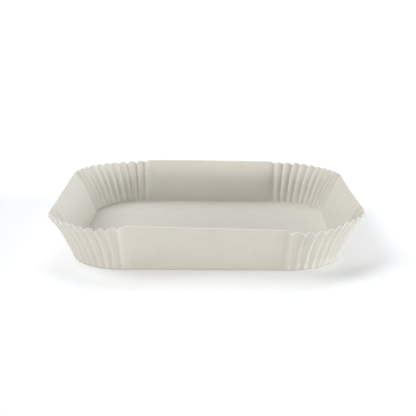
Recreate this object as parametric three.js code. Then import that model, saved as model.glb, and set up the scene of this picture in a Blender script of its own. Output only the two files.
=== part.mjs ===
// Air fryer paper liner: one pressed sheet of greaseproof paper, a square tray with
// four smooth side panels and four rounded corners gathered into radial flutes.
// Millimetres, +Z up, the origin at the middle of the underside. The front panel faces -Y.
import * as THREE from "three";

// Driving dimensions
const BASE_SIDE = 200; // side of the flat floor, out to where the walls would meet it
const HEIGHT = 35.5; // table to the middle of the sheet at the rim of a panel
const SHEET = 0.4; // thickness of the sheet
const FOOT_LEAN = 12; // degrees off upright of a wall at its foot
const RIM_LEAN = 39; // degrees off upright of a wall at its rim
const HEEL_RADIUS = 2.6; // bend from the floor into a wall, to the middle of the sheet
const FOOT_CORNER_RADIUS = 40; // plan radius of a corner at its foot
const RIM_CORNER_RADIUS = 55.7; // plan radius of a corner at its rim
const FLUTES_PER_CORNER = 11;
const FOOT_FLUTE_DEPTH = 1.65; // panel to ridge, just above the heel
const RIM_FLUTE_DEPTH = 3.3; // panel to ridge, at the rim
const RIM_VALLEY_DEPTH = 1.2; // panel to valley, at the rim; none at the foot
const RIM_SCALLOP = 0.6; // how far the rim dips along the wall from a valley to a ridge
const SHOULDER = 6.5; // length over which a panel rises to the first ridge of a corner

// How finely the sheet is divided
const FLUTE_STEPS = [0, 0.13, 0.3, 0.5, 0.7, 0.87]; // shares of a flute, ridge to ridge
const SHOULDER_STEPS = [0, 0.2, 0.45, 0.7]; // shares of a shoulder, from the ridge inwards
const PANEL_PARTS = 4; // lengths of the flat middle of a panel
const HEEL_PARTS = 3;
const WALL_PARTS = 5;

const CORNERS = 4;
const rad = THREE.MathUtils.degToRad;

// Derived dimensions
const footLean = rad(FOOT_LEAN);
const rimLean = rad(RIM_LEAN);
const wallRadius = (HEIGHT - SHEET / 2) / (Math.sin(rimLean) - Math.sin(footLean));
const wallLength = wallRadius * (rimLean - footLean);
const rimRun = wallRadius * (Math.cos(footLean) - Math.cos(rimLean));
const heelTurn = Math.PI / 2 - footLean;
const heelTangent = HEEL_RADIUS * Math.tan(heelTurn / 2);
const heelShare = heelTangent / wallLength;

// A wall's section is an arc that leans out more and more. At share t of its length it
// gives the run outwards from the foot, the height, the lean and the depth of the ridges
// and of the valleys, which stand out from the level of the panels.
// Towards the rim the ridges also slip down along the wall, which scallops the edge.
function wallStation(t) {
  const lean = footLean + (rimLean - footLean) * t;
  return {
    run: wallRadius * (Math.cos(footLean) - Math.cos(lean)),
    up: SHEET / 2 + wallRadius * (Math.sin(lean) - Math.sin(footLean)),
    lean,
    dip: lean,
    depth: THREE.MathUtils.lerp(FOOT_FLUTE_DEPTH, RIM_FLUTE_DEPTH, t),
    valley: RIM_VALLEY_DEPTH * t,
    slip: RIM_SCALLOP * t ** 4,
  };
}

// The heel is a bend from the flat floor (share 0) into the wall (share 1). The flutes
// fade out down the bend, so that the floor stays flat.
function heelStation(share) {
  const top = wallStation(heelShare);
  const turn = (Math.PI / 2 - top.lean) * share;
  const centre = new THREE.Vector2(-heelTangent, SHEET / 2 + HEEL_RADIUS);
  const fade = Math.sin((share * Math.PI) / 2) ** 2;
  const arc = new THREE.Vector2(
    centre.x + HEEL_RADIUS * Math.sin(turn),
    centre.y - HEEL_RADIUS * Math.cos(turn),
  );
  const end = new THREE.Vector2(
    centre.x + HEEL_RADIUS * Math.cos(top.lean),
    centre.y - HEEL_RADIUS * Math.sin(top.lean),
  );
  return {
    run: arc.x + (top.run - end.x) * fade,
    up: arc.y + (top.up - end.y) * fade,
    lean: Math.PI / 2 - turn,
    dip: top.lean * fade,
    depth: top.depth * fade,
    valley: top.valley * fade,
    slip: top.slip * fade,
  };
}

// Stations from the edge of the floor up to the rim.
function stations() {
  const list = [];
  for (let i = 0; i < HEEL_PARTS; i++) list.push(heelStation(i / HEEL_PARTS));
  for (let i = 0; i <= WALL_PARTS; i++) {
    list.push(wallStation(heelShare + ((1 - heelShare) * i) / WALL_PARTS));
  }
  return list;
}

// One round of the tray as steps: a step of a panel gives its place along the half panel
// and its distance from the ridge; a step of a corner gives its share of the corner.
function roundSteps() {
  const steps = [];
  for (let side = 0; side < CORNERS; side++) {
    for (const s of SHOULDER_STEPS) steps.push({ side, from: -1, reach: s });
    for (let i = 0; i <= PANEL_PARTS; i++) {
      steps.push({ side, from: -1, reach: 1, flat: i / PANEL_PARTS });
    }
    for (const s of [...SHOULDER_STEPS].reverse()) {
      if (s > 0) steps.push({ side, from: 1, reach: s });
    }
    for (let flute = 0; flute < FLUTES_PER_CORNER; flute++) {
      for (const s of FLUTE_STEPS) steps.push({ side, flute: flute + s });
    }
  }
  return steps;
}

// Height of the flute wave: 1 on a sharp ridge, 0 in a valley and on a panel.
function waveOf(step) {
  if (step.flute !== undefined) return 1 - Math.abs(Math.sin(Math.PI * step.flute));
  return 1 - Math.sin((Math.PI / 2) * step.reach);
}

// Plan point and outward direction of a step on the round of a station.
function planOf(step, station) {
  const half = BASE_SIDE / 2 + station.run;
  const share = station.run / rimRun;
  const radius = THREE.MathUtils.lerp(FOOT_CORNER_RADIUS, RIM_CORNER_RADIUS, share);
  const straight = half - radius;
  const point = new THREE.Vector2();
  const out = new THREE.Vector2(0, -1);
  if (step.flute === undefined) {
    const reach = SHOULDER * step.reach;
    const flat = 2 * (straight - SHOULDER) * (step.flat ?? 0);
    point.set(step.from * (straight - reach) + flat, -half);
  } else {
    const turn = (step.flute / FLUTES_PER_CORNER) * (Math.PI / 2);
    out.set(Math.sin(turn), -Math.cos(turn));
    point.set(straight, -straight).addScaledVector(out, radius);
  }
  const quarter = (step.side * Math.PI) / 2;
  const centre = new THREE.Vector2();
  return { point: point.rotateAround(centre, quarter), out: out.rotateAround(centre, quarter) };
}

// The middle of the sheet at a step of a station: the round pushed square to the wall by
// the wave, and down along it by the slip.
function middlePoint(step, station) {
  const { point, out } = planOf(step, station);
  const wave = waveOf(step);
  const low = step.flute === undefined ? 0 : station.valley;
  const push = THREE.MathUtils.lerp(low, station.depth, wave);
  const slip = station.slip * wave;
  const along = push * Math.cos(station.dip) - slip * Math.sin(station.dip);
  const down = push * Math.sin(station.dip) + slip * Math.cos(station.dip);
  return new THREE.Vector3(
    point.x + out.x * along,
    point.y + out.y * along,
    station.up - down,
  );
}

// Direction of the sheet's thickness at a step: the mitre of the two sides that meet there,
// taken square to the wall, so that the sheet is as thick on a flank as on a ridge.
function thickness(before, here, after, step, station) {
  const { out } = planOf(step, station);
  const wallUp = new THREE.Vector3(
    out.x * Math.sin(station.lean),
    out.y * Math.sin(station.lean),
    Math.cos(station.lean),
  );
  const first = here.clone().sub(before).cross(wallUp).normalize();
  const second = after.clone().sub(here).cross(wallUp).normalize();
  return first.clone().add(second).divideScalar(1 + first.dot(second));
}

// Both skins of the sheet and the edge at the rim, as one closed surface.
function linerGeometry() {
  const steps = roundSteps();
  const levels = stations();
  const count = steps.length;
  const points = [];
  const faces = [];
  const outer = [];
  const inner = [];
  const put = (v) => points.push(v) - 1;

  levels.forEach((station, level) => {
    const ring = steps.map((step) => middlePoint(step, station));
    const outerRing = [];
    const innerRing = [];
    ring.forEach((here, i) => {
      const before = ring[(i + count - 1) % count];
      const after = ring[(i + 1) % count];
      const way = thickness(before, here, after, steps[i], station);
      if (level === 0) way.set(0, 0, -1);
      outerRing.push(put(here.clone().addScaledVector(way, SHEET / 2)));
      innerRing.push(put(here.clone().addScaledVector(way, -SHEET / 2)));
    });
    outer.push(outerRing);
    inner.push(innerRing);
  });

  const quad = (a, b, c, d) => faces.push([a, b, c], [a, c, d]);
  for (let i = 0; i < count; i++) {
    const j = (i + 1) % count;
    for (let k = 0; k + 1 < levels.length; k++) {
      quad(outer[k][i], outer[k][j], outer[k + 1][j], outer[k + 1][i]);
      quad(inner[k][j], inner[k][i], inner[k + 1][i], inner[k + 1][j]);
    }
    const top = levels.length - 1;
    quad(outer[top][i], outer[top][j], inner[top][j], inner[top][i]);
  }
  const under = put(new THREE.Vector3(0, 0, 0));
  const floor = put(new THREE.Vector3(0, 0, SHEET));
  for (let i = 0; i < count; i++) {
    const j = (i + 1) % count;
    faces.push([under, outer[0][j], outer[0][i]], [floor, inner[0][i], inner[0][j]]);
  }

  const geometry = new THREE.BufferGeometry().setFromPoints(points);
  geometry.setIndex(faces.flat());
  geometry.computeVertexNormals();
  return geometry;
}

const paper = new THREE.MeshStandardMaterial({
  name: "greaseproof_paper",
  color: 0xddd9cc,
  roughness: 0.85,
  metalness: 0,
  side: THREE.FrontSide,
});

const liner = new THREE.Mesh(linerGeometry(), paper);
liner.name = "liner";

const group = new THREE.Group();
group.name = "air_fryer_paper_liner";
group.add(liner);

export default group;
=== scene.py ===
"""Air fryer paper liner: a square tray of greaseproof paper with fluted corners.

It stands on a white ground in soft light, before the photograph's camera.
"""

import logging
import math
from dataclasses import dataclass, field
from enum import Enum
from typing import Any, Sequence

import bpy
import numpy as np
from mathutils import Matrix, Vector

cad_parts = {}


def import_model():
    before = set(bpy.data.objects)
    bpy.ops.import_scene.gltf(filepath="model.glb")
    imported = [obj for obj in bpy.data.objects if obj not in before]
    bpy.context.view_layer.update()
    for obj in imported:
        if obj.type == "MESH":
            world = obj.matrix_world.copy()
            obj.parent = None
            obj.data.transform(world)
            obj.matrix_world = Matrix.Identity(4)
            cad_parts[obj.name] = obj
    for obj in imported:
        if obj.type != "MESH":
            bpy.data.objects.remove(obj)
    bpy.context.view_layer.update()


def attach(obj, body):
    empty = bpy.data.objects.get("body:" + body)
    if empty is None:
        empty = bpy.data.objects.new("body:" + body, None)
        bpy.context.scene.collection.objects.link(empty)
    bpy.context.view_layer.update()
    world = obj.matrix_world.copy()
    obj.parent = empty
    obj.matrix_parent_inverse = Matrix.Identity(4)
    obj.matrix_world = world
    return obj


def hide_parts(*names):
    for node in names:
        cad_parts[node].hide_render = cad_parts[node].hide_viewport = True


LOG = logging.getLogger("paper_liner")
Array = np.ndarray
Triple = tuple[float, float, float]
Colour = Triple
Band = tuple[float, float]  # where a smoothed share is 0 and where it is 1

MM = 0.001
QUARTER_TURN = math.pi / 2
SIDES = 4
SHEET_NAME = "liner_sheet"
SHARP_EDGE = math.radians(50)  # folds sharper than this are shaded as edges
RIDGE, RISE, CUT, MAP = "ridge", "rise", "cut", "UVMap"  # what the mesh carries for the paper
WHITE = (1.0, 1.0, 1.0, 1.0)

# Places of a Mix node's sockets when it mixes colours
MIX_SHARE, MIX_FIRST, MIX_SECOND, MIX_COLOUR = 0, 6, 7, 2


class Skin(Enum):
    """The two sides of the sheet."""

    OUTSIDE = 1.0
    INSIDE = -1.0


class Tint(Enum):
    """Colours of the lamps."""

    NEUTRAL = (1.0, 1.0, 1.0)
    COOL = (0.965, 0.98, 1.0)
    COOLER = (0.915, 0.957, 1.0)
    WARM = (1.0, 0.995, 0.985)
    WARMER = (1.0, 0.985, 0.955)


class Value:
    """A shader socket that adds, multiplies and compares by making Math nodes."""

    def __init__(self, tree: "Nodes", socket: Any) -> None:
        """Wraps a socket of a node tree."""
        self.tree = tree
        self.socket = socket

    def _math(self, operation: str, first: Any, second: Any) -> "Value":
        """Adds one Math node.

        Args:
            operation: the node's operation, such as MULTIPLY.
            first: the first value or number.
            second: the second value or number.

        Returns:
            The node's output.
        """
        return self.tree.node("ShaderNodeMath", {"operation": operation}, {0: first, 1: second})

    def __add__(self, other: Any) -> "Value":
        """self + other."""
        return self._math("ADD", self, other)

    def __radd__(self, other: Any) -> "Value":
        """other + self."""
        return self._math("ADD", other, self)

    def __sub__(self, other: Any) -> "Value":
        """self - other."""
        return self._math("SUBTRACT", self, other)

    def __rsub__(self, other: Any) -> "Value":
        """other - self."""
        return self._math("SUBTRACT", other, self)

    def __mul__(self, other: Any) -> "Value":
        """self * other."""
        return self._math("MULTIPLY", self, other)

    def __rmul__(self, other: Any) -> "Value":
        """other * self."""
        return self._math("MULTIPLY", other, self)

    def __or__(self, other: Any) -> "Value":
        """The greater of the two."""
        return self._math("MAXIMUM", self, other)

    def within(self, low: float, high: float) -> "Value":
        """The share of the way from low to high, smoothed, and held to 0 and 1 outside.

        Args:
            low: where the share is 0.
            high: where it is 1.

        Returns:
            The share.
        """
        return self.tree.node(
            "ShaderNodeMapRange",
            {"interpolation_type": "SMOOTHSTEP", "clamp": True},
            {"Value": self, "From Min": low, "From Max": high},
        )


class Nodes:
    """A node tree and the one way that its nodes are made."""

    def __init__(self, tree: bpy.types.NodeTree) -> None:
        """Takes over a tree and empties it."""
        self.nodes, self.links = tree.nodes, tree.links
        self.nodes.clear()

    def node(
        self,
        kind: str,
        settings: dict[str, Any] | None = None,
        inputs: dict[Any, Any] | None = None,
        output: Any = 0,
    ) -> Value:
        """Adds one node: its settings first, then the values or links of its sockets.

        Args:
            kind: the node's type.
            settings: the node's own properties.
            inputs: a number, colour or Value for each socket, by name or place.
            output: name or place of the output that is returned.

        Returns:
            The output, wrapped; it is empty for a node without outputs.
        """
        made = self.nodes.new(kind)
        for key, value in (settings or {}).items():
            setattr(made, key, value)
        for key, value in (inputs or {}).items():
            socket = made.inputs[key]
            if isinstance(value, Value):
                self.links.new(value.socket, socket)
            else:
                socket.default_value = value
        return Value(self, made.outputs[output] if made.outputs else None)

    def backdrop_rays(self) -> Value:
        """1 for a ray that shows the background: seen, mirrored or through glass. Otherwise 0.

        Returns:
            The greatest of the three outputs of Light Path.
        """
        seen, mirrored, through = (
            self.node("ShaderNodeLightPath", output=f"Is {kind} Ray")
            for kind in ("Camera", "Glossy", "Transmission")
        )
        return seen | mirrored | through


class Shader(Nodes):
    """A material, with the patterns that the finishes share."""

    def __init__(self, name: str) -> None:
        """Starts an empty material.

        Args:
            name: the material's name.
        """
        self.material = bpy.data.materials.new(name)
        self.material.use_nodes = True
        super().__init__(self.material.node_tree)

    def noise(self, where: Value, scale: float, detail: float, rough: float) -> Value:
        """Cloudy noise, 0 to 1.

        Args:
            where: coordinates.
            scale: clouds a unit of the coordinates.
            detail: octaves.
            rough: weight of the finer octaves.

        Returns:
            The noise's factor.
        """
        inputs = {"Vector": where, "Scale": scale, "Detail": detail, "Roughness": rough}
        return self.node("ShaderNodeTexNoise", {"noise_dimensions": "3D"}, inputs, "Fac")

    def stretched(self, where: Value, scale: Triple, turn: float = 0.0) -> Value:
        """Coordinates turned about Z and then scaled along each axis.

        Args:
            where: coordinates.
            scale: factor along each axis.
            turn: radians about Z.

        Returns:
            The new coordinates.
        """
        inputs = {"Vector": where, "Rotation": (0.0, 0.0, turn), "Scale": scale}
        return self.node("ShaderNodeMapping", {"vector_type": "POINT"}, inputs)

    def blend(self, share: Value, first: Any, second: Colour) -> Value:
        """A colour between two.

        Args:
            share: 0 for the first, 1 for the second.
            first: colour or link.
            second: colour.

        Returns:
            The mixed colour.
        """
        first = first if isinstance(first, Value) else (*first, 1.0)
        settings = {"data_type": "RGBA", "clamp_factor": True}
        inputs = {MIX_SHARE: share, MIX_FIRST: first, MIX_SECOND: (*second, 1.0)}
        return self.node("ShaderNodeMix", settings, inputs, MIX_COLOUR)

    def attribute(self, name: str) -> Value:
        """A number stored at each point of the mesh."""
        settings = {"attribute_name": name, "attribute_type": "GEOMETRY"}
        return self.node("ShaderNodeAttribute", settings, {}, "Fac")

    def close(self, surface: Value) -> bpy.types.Material:
        """Joins a surface shader to the material's output."""
        self.node("ShaderNodeOutputMaterial", {}, {"Surface": surface})
        return self.material


@dataclass(frozen=True)
class Noise:
    """Size of a cloudy noise: clouds a metre, octaves and the weight of the finer octaves."""

    scale: float
    detail: float
    rough: float

    def on(self, shader: Shader, where: Value) -> Value:
        """The noise at those coordinates."""
        return shader.noise(where, self.scale, self.detail, self.rough)


@dataclass(frozen=True)
class Greaseproof:
    """Off-white greaseproof paper: cloudy stock, short fibres, paler folds that are partly
    stretched paper and partly painted highlight on the crests, and a cut edge painted as a
    highlight.
    """

    name: str = "greaseproof_paper"
    stock: Colour = (0.690, 0.665, 0.595)
    thin_stock: Colour = (0.660, 0.633, 0.558)
    fibre: Colour = (0.735, 0.715, 0.660)
    # fold: paler crests, partly stretched paper and partly painted highlight where the ridges
    # catch light
    fold: Colour = (0.775, 0.762, 0.718)
    # cut: painted highlight, the rim's cut edge made near-white as if catching light
    cut: Colour = (0.860, 0.850, 0.815)

    clouds: Noise = Noise(85.0, 4.0, 0.55)
    mottle: Noise = Noise(420.0, 3.0, 0.6)
    grain: Noise = Noise(2600.0, 3.0, 0.65)
    strands: Noise = Noise(9.0, 2.0, 0.6)
    strand_stretch: Triple = (14.0, 190.0, 1.0)
    strand_turns: tuple[float, float] = (0.35, -1.1)  # radians
    streaks: Noise = Noise(6.0, 3.0, 0.6)
    streak_stretch: Triple = (90.0, 5.0, 1.0)

    lengthwise_band: Band = (0.62, 0.74)
    crosswise_band: Band = (0.63, 0.75)
    clouds_band: Band = (0.35, 0.68)
    mottle_band: Band = (0.4, 0.7)
    crest_band: Band = (0.28, 0.90)
    press_band: Band = (0.02, 0.3)

    clouds_in_stock: float = 0.45
    mottle_in_stock: float = 0.25
    fibres_in_stock: float = 0.30
    # shares of the fold colour on the crests, which is partly stretched paper and partly painted
    # highlight
    plain_fold: float = 0.25
    streaked_fold: float = 0.6

    roughness: float = 0.80
    roughness_spread: float = 0.10
    fold_polish: float = 0.05
    specular: float = 0.30

    bump_strength: float = 0.35
    bump_height: float = 0.12 * MM
    grain_height: float = 0.30
    mottle_height: float = 0.35
    fibre_height: float = 0.10
    streak_height: float = 0.9

    def fibres(self, s: Shader, along: Value) -> Value:
        """Short fibres that lie two ways: the crests of two long, narrow noises.

        Args:
            s: the paper's shader.
            along: the sheet's own map.

        Returns:
            How many fibres cross at a place, 0 to 2.
        """
        lengthwise, crosswise = (
            self.strands.on(s, s.stretched(along, self.strand_stretch, turn))
            for turn in self.strand_turns
        )
        return lengthwise.within(*self.lengthwise_band) + crosswise.within(*self.crosswise_band)

    def material(self) -> bpy.types.Material:
        """Makes the paper.

        Returns:
            The material, which reads the attributes ridge, rise and cut and the map UVMap.
        """
        s = Shader(self.name)
        place = s.node("ShaderNodeTexCoord", {}, {}, "Object")
        along = s.node("ShaderNodeUVMap", {"uv_map": MAP})
        clouds = self.clouds.on(s, place)
        mottle = self.mottle.on(s, place)
        grain = self.grain.on(s, place)
        fibres = self.fibres(s, along)
        streaks = self.streaks.on(s, s.stretched(along, self.streak_stretch))

        ridge = s.attribute(RIDGE)
        crest = ridge.within(*self.crest_band)
        cloudy = clouds.within(*self.clouds_band) * self.clouds_in_stock
        thin = cloudy + mottle.within(*self.mottle_band) * self.mottle_in_stock
        # painted highlight: the ridge crests are made paler, partly as stretched paper and partly
        # for the light they catch
        crest_paling_and_highlight = crest * (self.plain_fold + streaks * self.streaked_fold)
        colour = s.blend(thin, self.stock, self.thin_stock)
        colour = s.blend(fibres * self.fibres_in_stock, colour, self.fibre)
        colour = s.blend(crest_paling_and_highlight, colour, self.fold)
        # painted highlight: the cut edge at the rim is made near-white
        colour = s.blend(s.attribute(CUT), colour, self.cut)

        uneven = (mottle - 0.5) * self.roughness_spread
        rough = self.roughness + uneven - crest * self.fold_polish
        press = ridge.within(*self.press_band) * s.attribute(RISE)
        height = (
            grain * self.grain_height
            + mottle * self.mottle_height
            + fibres * self.fibre_height
            + streaks * press * self.streak_height
        )
        bump = {"Height": height, "Strength": self.bump_strength, "Distance": self.bump_height}
        body = {
            "Base Color": colour,
            "Roughness": rough,
            "Normal": s.node("ShaderNodeBump", {}, bump, "Normal"),
            "Specular IOR Level": self.specular,
        }
        return s.close(s.node("ShaderNodeBsdfPrincipled", {}, body, "BSDF"))


@dataclass(frozen=True)
class WhiteGround:
    """White paper ground that keeps a soft shadow and shows as white elsewhere."""

    name: str = "white_ground"
    colour: Colour = (0.81, 0.81, 0.82)
    lift: float = 0.27

    def material(self) -> bpy.types.Material:
        """Makes the ground: a matt white, raised for the rays that show the background only.

        Returns:
            The material.
        """
        s = Shader(self.name)
        matt = s.node("ShaderNodeBsdfDiffuse", {}, {"Color": (*self.colour, 1.0)}, "BSDF")
        lift = {"Color": WHITE, "Strength": s.backdrop_rays() * self.lift}
        glow = s.node("ShaderNodeEmission", {}, lift, "Emission")
        return s.close(s.node("ShaderNodeAddShader", {}, {0: matt, 1: glow}))


@dataclass(frozen=True)
class Wall:
    """Section of a wall: a heel bend, then an arc that leans out more and more. Millimetres."""

    height: float = 35.5
    sheet: float = 0.4
    foot_lean: float = 12.0  # degrees off upright
    rim_lean: float = 39.0
    heel_radius: float = 1.1
    foot_flute_depth: float = 1.65
    rim_flute_depth: float = 3.3
    rim_valley_depth: float = 1.2
    rim_scallop: float = 0.6
    low_share: float = 0.5  # of the flutes' depth, where they start above the heel
    full_from: float = 0.35  # share of the wall's length from which they are full

    @property
    def leans(self) -> tuple[float, float]:
        """Lean at the foot and at the rim, in radians."""
        return math.radians(self.foot_lean), math.radians(self.rim_lean)

    @property
    def radius(self) -> float:
        """Radius of the arc that takes the wall from one lean to the other over its height."""
        foot, rim = self.leans
        return (self.height - self.sheet / 2) / (math.sin(rim) - math.sin(foot))

    @property
    def length(self) -> float:
        """Length of the wall up its slope."""
        foot, rim = self.leans
        return self.radius * (rim - foot)

    @property
    def rim_run(self) -> float:
        """How far the rim stands out from the foot."""
        foot, rim = self.leans
        return self.radius * (math.cos(foot) - math.cos(rim))

    @property
    def heel_tangent(self) -> float:
        """Distance from the heel's corner to where its bend ends."""
        return self.heel_radius * math.tan((QUARTER_TURN - self.leans[0]) / 2)

    @property
    def heel_share(self) -> float:
        """Share of the wall's length that the heel bend takes up."""
        return self.heel_tangent / self.length

    def arc(self, parts: int) -> dict[str, Array]:
        """Stations of the wall above its heel.

        At share t of the length, lean = foot + (rim - foot) t, run = R (cos foot - cos lean) and
        up = R (sin lean - sin foot). The flutes' depth grows in a line from foot to rim, times a
        low share of itself that grows smoothly to 1. The valleys' depth grows in a line from
        nothing. The ridges slip down the wall by scallop t^4, which scallops the rim.

        Args:
            parts: steps in the wall.

        Returns:
            The arrays that stations returns, for the wall.
        """
        foot, rim = self.leans
        t = self.heel_share + (1 - self.heel_share) * np.linspace(0, 1, parts + 1)
        lean = foot + (rim - foot) * t
        full = np.minimum(1, t / self.full_from)
        grown = self.low_share + (1 - self.low_share) * full**2 * (3 - 2 * full)
        depth = self.foot_flute_depth + (self.rim_flute_depth - self.foot_flute_depth) * t
        return {
            "run": self.radius * (math.cos(foot) - np.cos(lean)),
            "up": self.sheet / 2 + self.radius * (np.sin(lean) - math.sin(foot)),
            "lean": lean,
            "dip": lean.copy(),
            "depth": depth * grown,
            "valley": self.rim_valley_depth * t,
            "slip": self.rim_scallop * t**4,
            "share": t,
            "crease": np.ones_like(t),
        }

    def stations(self, heel_parts: int, wall_parts: int) -> dict[str, Array]:
        """Stations from the floor's edge up to the rim.

        A heel station turns on a small circle that touches the floor and the wall. What the
        wall has at its lowest station fades out down the heel by a squared sine.

        Args:
            heel_parts: steps in the heel bend.
            wall_parts: steps in the wall.

        Returns:
            Arrays with one value a station: run and up place it; lean is the wall's and dip is
            the lean that the flutes are pushed square to; depth, valley and slip are the
            flutes'; share is the way up the wall and crease how far the folds are pressed.
        """
        wall = self.arc(wall_parts)
        s = np.linspace(0, 1, heel_parts, endpoint=False)
        top_lean = wall["lean"][0]
        turn = (QUARTER_TURN - top_lean) * s
        fade = np.sin(s * QUARTER_TURN) ** 2
        centre_up = self.sheet / 2 + self.heel_radius
        end_run = self.heel_radius * math.cos(top_lean) - self.heel_tangent
        end_up = centre_up - self.heel_radius * math.sin(top_lean)
        run = self.heel_radius * np.sin(turn) - self.heel_tangent
        up = centre_up - self.heel_radius * np.cos(turn)
        heel = {key: wall[key][0] * fade for key in ("dip", "depth", "valley", "slip", "crease")}
        heel["run"] = run + (wall["run"][0] - end_run) * fade
        heel["up"] = up + (wall["up"][0] - end_up) * fade
        heel["lean"] = QUARTER_TURN - turn
        heel["share"] = self.heel_share * s
        return {key: np.concatenate([heel[key], wall[key]]) for key in wall}


@dataclass(frozen=True)
class Settle:
    """How this one sheet stands off its pressed form. Millimetres at the rim.

    Swing is out from the wall and rise is up it, each at six places of a quarter: the left
    end, middle and right end of its panel, then a quarter, a half and three quarters of the
    way round its corner. The ridges' numbers are shares of their height, from the front
    panel outwards on the right and on the left.
    """

    front_swing: tuple[float, ...] = (-0.8, -0.2, 0.9, 1.2, -1.8, -1.1)
    right_swing: tuple[float, ...] = (-2.2, -2.0, -0.9, -0.6, 0.2, 0.7)
    back_swing: tuple[float, ...] = (1.1, 0.3, 0.2, 0.6, 0.0, 0.2)
    left_swing: tuple[float, ...] = (0.2, -0.4, -1.3, -0.4, -1.8, -0.2)
    front_rise: tuple[float, ...] = (1.5, 0.9, 0.2, -0.4, 0.0, 1.6)
    right_rise: tuple[float, ...] = (1.9, 0.1, -1.0, -1.6, -1.2, -0.1)
    back_rise: tuple[float, ...] = (-0.1, 0.5, 0.6, 0.4, 0.8, 1.3)
    left_rise: tuple[float, ...] = (1.5, 1.1, 0.4, 0.5, -0.3, 0.6)
    ripple: float = 0.10
    pitch_spread: float = 0.04  # share of a flute
    right_ridges: tuple[float, ...] = (
        -0.35, 0.55, 0.68, 0.08, 0.0, 0.05, -0.06, 0.08, -0.10, 0.07, 0.10, 0.0,
    )
    left_ridges: tuple[float, ...] = (
        -0.05, 0.32, 0.62, -0.05, 0.04, 0.10, 0.04, -0.08, 0.07, 0.10, 0.05, 0.0,
    )

    @staticmethod
    def smooth(knots: Sequence[float], place: Array) -> Array:
        """A closed smooth curve through evenly spaced values (Catmull-Rom).

        Args:
            knots: values at places 0, 1, 2 and so on; the last joins the first.
            place: where the curve is read.

        Returns:
            The curve's values.
        """
        k = np.asarray(knots, float)
        i = np.floor(place).astype(int)
        f = place - i
        a, b, c, d = (k[(i + j) % len(k)] for j in (-1, 0, 1, 2))
        return b + 0.5 * f * (c - a + f * (2 * a - 5 * b + 4 * c - d + f * (3 * (b - c) + d - a)))

    def swing(self, place: Array, share: Array) -> Array:
        """Outward departure: the curve round the tray, times share^1.5, and a ripple.

        The ripple is sin(2.1 place + 5 share) + 0.6 sin(4.7 place - 9 share + 1), which runs
        askew round the tray, and it grows with the share.

        Args:
            place: places round the tray.
            share: way up the wall.

        Returns:
            The departure on the grid.
        """
        knots = (*self.front_swing, *self.right_swing, *self.back_swing, *self.left_swing)
        long_wave = np.sin(place * 2.1 + 5.0 * share)
        short_wave = 0.6 * np.sin(place * 4.7 - 9.0 * share + 1.0)
        ripples = self.ripple * (long_wave + short_wave) * share
        return self.smooth(knots, place) * share**1.5 + ripples

    def rise(self, place: Array, share: Array) -> Array:
        """Upward departure: the curve round the tray, growing up the wall."""
        knots = (*self.front_rise, *self.right_rise, *self.back_rise, *self.left_rise)
        return self.smooth(knots, place) * share

    def drift(self, ridge: Array, side: Array) -> Array:
        """How far a ridge lies off its even place: spread times sin(2.3 ridge + 1.9 side)."""
        return self.pitch_spread * np.sin(2.3 * ridge + 1.9 * side)


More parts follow.
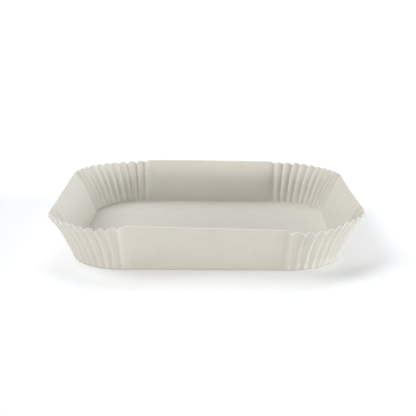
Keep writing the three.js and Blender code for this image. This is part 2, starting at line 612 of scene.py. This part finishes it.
@dataclass
class Liner:
    """The pressed sheet: floor, heel, four smooth panels and four fluted corners."""

    base_side: float = 200.0
    foot_corner_radius: float = 40.0
    rim_corner_radius: float = 55.7
    flutes: int = 11
    foot_shoulder: float = 8.5
    shoulder: float = 5.4
    fold_round: float = 0.07  # rounds the point of a fold, as a share of the flute's height
    flute_parts: int = 13
    flute_crowding: float = 0.55  # 0 spaces the steps of a flute evenly, 1 joins them at a ridge
    shoulder_parts: int = 7
    shoulder_crowding: float = 1.2  # power that draws the steps of a shoulder to the ridge
    panel_parts: int = 18
    heel_parts: int = 7
    wall_parts: int = 34
    floor_parts: int = 14
    wall: Wall = field(default_factory=Wall)
    settle: Settle = field(default_factory=Settle)

    def round_steps(self) -> dict[str, Array]:
        """One round of the tray, as arrays with one value a step.

        A panel's step has end = -1 or 1 for the end that it is measured from, reach = share of
        the shoulder and flat = share of the flat middle. A corner's step has flute = 0 at its
        first ridge to the number of flutes at its last, closer together near the ridges.

        Returns:
            Arrays of side, corner, end, reach, flat, flute and place.
        """
        even = np.linspace(0, 1, self.shoulder_parts, endpoint=False)
        shoulder = even**self.shoulder_crowding
        flat = np.linspace(0, 1, self.panel_parts + 1)
        j = np.arange(self.flutes * self.flute_parts) / self.flute_parts
        flute = j - self.flute_crowding * np.sin(2 * math.pi * j) / (2 * math.pi)
        down = shoulder[:0:-1]
        panel = {
            "end": np.concatenate([-np.ones(len(shoulder) + len(flat)), np.ones(len(down))]),
            "reach": np.concatenate([shoulder, np.ones(len(flat)), down]),
            "flat": np.concatenate([np.zeros(len(shoulder)), flat, np.zeros(len(down))]),
        }
        panel_count, corner_count = len(panel["end"]), len(flute)
        quarter = {
            "corner": np.concatenate([np.zeros(panel_count), np.ones(corner_count)]),
            "flute": np.concatenate([np.zeros(panel_count), flute]),
        }
        for key, values in panel.items():
            quarter[key] = np.concatenate([values, np.zeros(corner_count)])
        steps = {key: np.tile(values, SIDES) for key, values in quarter.items()}
        steps["side"] = np.repeat(np.arange(float(SIDES)), panel_count + corner_count)
        steps["place"] = self.place(steps)
        return steps

    def place(self, steps: dict[str, Array]) -> Array:
        """Place round the tray in sixths of a quarter: two for a panel, four for a corner.

        Args:
            steps: the round.

        Returns:
            The place of each step.
        """
        near_end = self.shoulder / (2 * (self.base_side / 2 - self.foot_corner_radius))
        reached = steps["reach"] * near_end
        along = np.where(steps["end"] < 0, reached, 1 - reached)
        middle = near_end + (1 - 2 * near_end) * steps["flat"]
        along = np.where(steps["reach"] < 1, along, middle)
        turned = 2 + 4 * steps["flute"] / self.flutes
        return 6 * steps["side"] + np.where(steps["corner"] > 0, turned, 2 * along)

    def wave(self, steps: dict[str, Array]) -> Array:
        """Height of the flute wave: 1 on a fold, 0 in a valley and on a panel.

        On a corner it is 1 - |sin(pi flute)|, and on a shoulder 1 - sin(pi/2 reach). The point
        is rounded: the sine is the square root of its square plus a small square, less that
        small number, over what this gives for a sine of 1.

        Args:
            steps: the round.

        Returns:
            The wave at each step.
        """
        e = self.fold_round
        on_corner = steps["corner"] > 0
        angle = np.where(on_corner, math.pi * steps["flute"], QUARTER_TURN * steps["reach"])
        return 1 - (np.sqrt(np.sin(angle) ** 2 + e**2) - e) / (math.sqrt(1 + e**2) - e)

    def turn(self, steps: dict[str, Array]) -> Array:
        """Angle of each step round its corner, with the ridges at their uneven pitch.

        The drift of the nearest ridge is felt by the squared cosine of the distance from it,
        and fades out at the corner's two ends by the root of a sine.

        Args:
            steps: the round.

        Returns:
            The angles in radians.
        """
        flute = steps["flute"]
        ridge = np.round(flute)
        drift = self.settle.drift(ridge, steps["side"])
        drift = drift * np.sin(math.pi * flute / self.flutes) ** 0.5
        moved = flute + drift * np.cos(math.pi * (flute - ridge)) ** 2
        return moved / self.flutes * QUARTER_TURN

    def uneven(self, steps: dict[str, Array], share: Array) -> Array:
        """How high each ridge of this one sheet stands, as a factor that grows up the wall.

        Args:
            steps: the round.
            share: way up the wall.

        Returns:
            The factors on the grid, 1 on a panel.
        """
        ridge = np.round(steps["flute"])
        left = steps["side"] % 2 > 0
        counted = np.where(left, self.flutes - ridge, ridge).astype(int)
        ridges = np.asarray([self.settle.right_ridges, self.settle.left_ridges])
        return 1 + ridges[left.astype(int), counted] * share**2 * steps["corner"]

    def plan(self, steps: dict[str, Array], run: Array, share: Array) -> tuple[Array, ...]:
        """Where each step lies on each level, seen from above, for the side that faces -Y.

        A level is a rounded square of half side base / 2 + run, with a corner radius that grows
        with the run. A shoulder narrows up the wall.

        Args:
            steps: the round.
            run: how far each level stands out from the foot.
            share: way up the wall.

        Returns:
            X, Y, and the X and Y of the way outwards, on the grid.
        """
        half = self.base_side / 2 + run
        growth = self.rim_corner_radius - self.foot_corner_radius
        radius = self.foot_corner_radius + growth * run / self.wall.rim_run
        straight = half - radius
        shoulder = self.foot_shoulder + (self.shoulder - self.foot_shoulder) * share
        reach = shoulder * steps["reach"]
        flat = 2 * (straight - shoulder) * steps["flat"]
        turn = self.turn(steps)
        on_corner = steps["corner"] > 0
        panel_x = steps["end"] * (straight - reach) + flat
        x = np.where(on_corner, straight + radius * np.sin(turn), panel_x)
        y = np.where(on_corner, -straight - radius * np.cos(turn), -half)
        out_x = np.where(on_corner, np.sin(turn), 0.0) * np.ones_like(half)
        out_y = np.where(on_corner, -np.cos(turn), -1.0) * np.ones_like(half)
        return x, y, out_x, out_y

    def middle(self, steps: dict[str, Array], levels: dict[str, Array]) -> tuple[Array, Array]:
        """The middle of the sheet on the grid of levels and steps.

        The wave pushes a step out along the wall's normal, from the valley's depth to the
        ridge's, and slips it down the wall. The sheet's own departures swing it along the
        normal and raise it up the wall. Each side is then turned to its quarter.

        Args:
            steps: the round.
            levels: the wall's stations.

        Returns:
            Points and outward directions, on the grid.
        """
        column = {key: values[:, None] for key, values in levels.items()}
        lean, dip, share = column["lean"], column["dip"], column["share"]
        x, y, out_x, out_y = self.plan(steps, column["run"], share)

        height = self.wave(steps) * self.uneven(steps, share)
        low = column["valley"] * steps["corner"]
        push = low + (column["depth"] - low) * height
        drop = column["slip"] * height
        swing = self.settle.swing(steps["place"], share)
        rise = self.settle.rise(steps["place"], share)
        out = push * np.cos(dip) - drop * np.sin(dip) + swing * np.cos(lean) + rise * np.sin(lean)
        down = push * np.sin(dip) + drop * np.cos(dip) + swing * np.sin(lean)
        z = column["up"] - down + rise * np.cos(lean)
        x = x + out_x * out
        y = y + out_y * out

        quarter = steps["side"] * QUARTER_TURN
        c, s = np.cos(quarter), np.sin(quarter)
        points = np.stack([x * c - y * s, x * s + y * c, z], -1)
        outward = np.stack([out_x * c - out_y * s, out_x * s + out_y * c, 0 * z], -1)
        return points, outward

    @staticmethod
    def thickness(points: Array, outward: Array, lean: Array) -> Array:
        """Way of the sheet's thickness: the mitre of the two sides that meet at each point.

        The normal of a side is its run crossed with the way up the wall; the mitre is the sum
        of the two normals over 1 plus their dot product, so the sheet is as thick on a flank
        as on a fold. At the floor's edge it is straight down.

        Args:
            points: middle of the sheet, on the grid.
            outward: plan direction out of the tray, on the grid.
            lean: lean of each level.

        Returns:
            The mitres, on the grid.
        """
        lean = lean[:, None, None]
        up_wall = outward * np.sin(lean) + np.array([0.0, 0.0, 1.0]) * np.cos(lean)
        after = np.cross(np.roll(points, -1, axis=1) - points, up_wall)
        after /= np.linalg.norm(after, axis=-1, keepdims=True)
        before = np.roll(after, 1, axis=1)
        dot = np.sum(before * after, axis=-1, keepdims=True)
        mitre = (before + after) / (1 + dot)
        mitre[0] = (0.0, 0.0, -1.0)
        return mitre

    def build(self) -> bpy.types.Object:
        """Makes the liner's mesh: both skins, the cut edge at the rim and the floor's two sides.

        The map's X is the distance round the rim and its Y the distance up the wall; on the
        floor they are the plan's X and Y.

        Returns:
            The object, with the attributes ridge, rise and cut and the map UVMap.
        """
        steps = self.round_steps()
        levels = self.wall.stations(self.heel_parts, self.wall_parts)
        points, outward = self.middle(steps, levels)
        way = self.thickness(points, outward, levels["lean"])
        count = points.shape[1]
        inwards = np.linspace(0, 1, self.floor_parts, endpoint=False)[1:][:, None, None]
        pressed = self.wave(steps) * levels["crease"][:, None]
        up_wall = np.cumsum(np.r_[0, np.hypot(np.diff(levels["run"]), np.diff(levels["up"]))])
        rim = np.linalg.norm(np.roll(points[-1], -1, axis=0) - points[-1], axis=1)
        along = np.cumsum(np.r_[0, rim[:-1]])
        wall_map = np.stack(np.broadcast_arrays(along[None, :], up_wall[:, None]), -1)

        skins, ridges, rises, maps = [], [], [], []
        for skin in Skin:
            wall = points + way * (self.wall.sheet / 2 * skin.value)
            spread = (wall[0] * (inwards * (1, 1, 0) + (0, 0, 1))).reshape(-1, 3)
            floor = np.concatenate([wall[0, :1] * (0, 0, 1), spread])
            skins += [floor, wall.reshape(-1, 3)]
            ridges += [np.zeros(len(floor)), pressed.ravel()]
            rises += [np.zeros(len(floor)), np.repeat(levels["share"], count)]
            maps += [floor[:, :2], wall_map.reshape(-1, 2)]
        return self.mesh(
            np.concatenate(skins) * MM,
            self.faces(count, self.floor_parts - 1 + len(levels["run"])),
            {RIDGE: np.concatenate(ridges), RISE: np.concatenate(rises)},
            np.concatenate(maps) * MM,
            SIDES * count,
        )

    @staticmethod
    def faces(count: int, rings: int) -> list[list[int]]:
        """Faces of both skins and of the rim, all turned outwards.

        Args:
            count: steps in a round.
            rings: rounds in a skin, which has its centre first.

        Returns:
            Lists of point numbers; the rim's faces, of four corners each, come last.
        """
        inside = 1 + rings * count
        i = np.arange(count)
        j = (i + 1) % count
        low = 1 + np.arange(rings - 1)[:, None] * count
        outer = np.stack([low + i, low + j, low + count + j, low + count + i], -1).reshape(-1, 4)
        inner = outer[:, ::-1] + inside
        under = np.stack([0 * i, 1 + j, 1 + i], -1)
        over = np.stack([0 * i, 1 + i, 1 + j], -1) + inside
        top = 1 + (rings - 1) * count
        rim = np.stack([top + i, top + j, top + inside + j, top + inside + i], -1)
        return [face for part in (under, over, outer, inner, rim) for face in part.tolist()]

    @staticmethod
    def mesh(
        points: Array,
        faces: list[list[int]],
        values: dict[str, Array],
        places: Array,
        rim_corners: int,
    ) -> bpy.types.Object:
        """Makes a smooth object from points and faces.

        Args:
            points: positions in metres.
            faces: lists of point numbers.
            values: numbers stored at each point, by name.
            places: the map's place of each point.
            rim_corners: face corners of the rim, which are the last ones.

        Returns:
            The object, linked to the scene.
        """
        mesh = bpy.data.meshes.new(SHEET_NAME)
        mesh.from_pydata(points, [], faces)
        for name, numbers in values.items():
            stored = mesh.attributes.new(name, "FLOAT", "POINT").data
            stored.foreach_set("value", numbers.astype(np.float32))
        corner_points = np.empty(len(mesh.loops), np.int32)
        mesh.loops.foreach_get("vertex_index", corner_points)
        cut = np.zeros(len(mesh.loops), np.float32)
        cut[-rim_corners:] = 1.0
        mesh.attributes.new(CUT, "FLOAT", "CORNER").data.foreach_set("value", cut)
        layer = mesh.uv_layers.new(name=MAP)
        layer.data.foreach_set("uv", places[corner_points].astype(np.float32).ravel())
        mesh.polygons.foreach_set("use_smooth", np.ones(len(mesh.polygons), bool))
        mesh.update()
        mesh.set_sharp_from_angle(angle=SHARP_EDGE)
        made = bpy.data.objects.new(SHEET_NAME, mesh)
        bpy.context.collection.objects.link(made)
        return made

    @staticmethod
    def dress(sheet: bpy.types.Object, paper: Greaseproof) -> None:
        """Gives the sheet its paper, puts it under the root body and hides the CAD liner in its
        place.

        Args:
            sheet: the built object.
            paper: its finish.
        """
        sheet.data.materials.append(paper.material())
        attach(sheet, "root")
        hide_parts("liner")
        points, faces = len(sheet.data.vertices), len(sheet.data.polygons)
        LOG.info("%s: %d points, %d faces", sheet.name, points, faces)


@dataclass(frozen=True)
class Lamp:
    """A far, broad lamp.

    Its bearing is counted from +X towards +Y and its height from the ground, both in degrees,
    as its breadth is. A strength of 1 lights a white surface that faces it to white.
    """

    name: str
    bearing: float
    height: float
    breadth: float
    strength: float
    tint: Tint = Tint.NEUTRAL

    def hang(self) -> None:
        """Adds the lamp to the scene."""
        data = bpy.data.lights.new(self.name, "SUN")
        data.angle = math.radians(self.breadth)
        data.energy = self.strength * math.pi
        data.color = self.tint.value
        made = bpy.data.objects.new(self.name, data)
        bearing, height = math.radians(self.bearing), math.radians(self.height)
        level = math.cos(height)
        source = Vector((level * math.cos(bearing), level * math.sin(bearing), math.sin(height)))
        made.location = source
        made.rotation_euler = (-source).to_track_quat("-Z", "Y").to_euler()
        bpy.context.collection.objects.link(made)


@dataclass
class Studio:
    """White ground, even soft light and the photograph's camera. Metres and degrees."""

    image_side: int = 416
    focal_pixels: float = 920.56
    sensor: float = 36.0  # millimetres
    near_clip: float = 0.01
    far_clip: float = 100.0
    distance: float = 0.73234
    eye_height: float = 0.21149
    aside: float = 0.00036
    liner_yaw: float = -0.9232
    pitch: float = 14.640
    ground_side: float = 12.0
    ground: WhiteGround = field(default_factory=WhiteGround)
    lamps: tuple[Lamp, ...] = (
        Lamp("high_side", 180.0, 50.0, 38.0, 0.52, Tint.COOL),
        Lamp("high_left", 150.0, 50.0, 38.0, 0.10, Tint.COOL),
        Lamp("high_back", 90.0, 50.0, 38.0, 0.36, Tint.COOL),
        Lamp("high_right", 0.0, 50.0, 40.0, 0.03),
        Lamp("low_right", 0.0, 8.0, 20.0, 0.685, Tint.COOLER),
        Lamp("low_front_right", 330.0, 8.0, 20.0, 0.14),
        Lamp("low_front", 270.0, 8.0, 20.0, 0.175, Tint.WARM),
        Lamp("low_front_side", 300.0, 8.0, 20.0, 0.03),
        Lamp("grazing_front", 270.0, 2.5, 4.0, 0.195, Tint.WARM),
        Lamp("low_front_left", 240.0, 8.0, 20.0, 0.155, Tint.WARMER),
        Lamp("low_back", 90.0, 8.0, 20.0, 0.085),
    )

    def camera(self) -> None:
        """Adds the camera, in front of the liner and turned with it, looking down a little."""
        yaw = math.radians(-self.liner_yaw)
        data = bpy.data.cameras.new("camera")
        data.sensor_width = self.sensor
        data.lens = self.focal_pixels / self.image_side * self.sensor
        data.clip_start = self.near_clip
        data.clip_end = self.far_clip
        made = bpy.data.objects.new("camera", data)
        c, s = math.cos(yaw), math.sin(yaw)
        made.location = (
            self.aside * c + self.distance * s,
            self.aside * s - self.distance * c,
            self.eye_height,
        )
        made.rotation_euler = (math.radians(90 - self.pitch), 0.0, yaw)
        bpy.context.collection.objects.link(made)
        bpy.context.scene.camera = made

    def floor(self) -> None:
        """Adds the ground, a square at height 0."""
        h = self.ground_side / 2
        mesh = bpy.data.meshes.new("ground")
        mesh.from_pydata([(-h, -h, 0), (h, -h, 0), (h, h, 0), (-h, h, 0)], [], [(0, 1, 2, 3)])
        made = bpy.data.objects.new("ground", mesh)
        made.data.materials.append(self.ground.material())
        bpy.context.collection.objects.link(made)

    def light(self) -> None:
        """Hangs the lamps and makes surroundings that are seen as white and give no light."""
        for lamp in self.lamps:
            lamp.hang()
        world = bpy.data.worlds.new("surroundings")
        world.use_nodes = True
        sky = Nodes(world.node_tree)
        white = {"Color": WHITE, "Strength": sky.backdrop_rays()}
        surface = sky.node("ShaderNodeBackground", {}, white)
        sky.node("ShaderNodeOutputWorld", {}, {"Surface": surface})
        bpy.context.scene.world = world
        bpy.context.scene.view_settings.view_transform = "Standard"

    def set_up(self) -> None:
        """Makes the whole studio."""
        self.camera()
        self.floor()
        self.light()


def main() -> None:
    """Builds the liner and the studio, in order."""
    logging.basicConfig(level=logging.INFO, format="%(name)s: %(message)s")
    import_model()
    Studio().set_up()
    liner = Liner()
    liner.dress(liner.build(), Greaseproof())


if __name__ == "__main__":
    main()
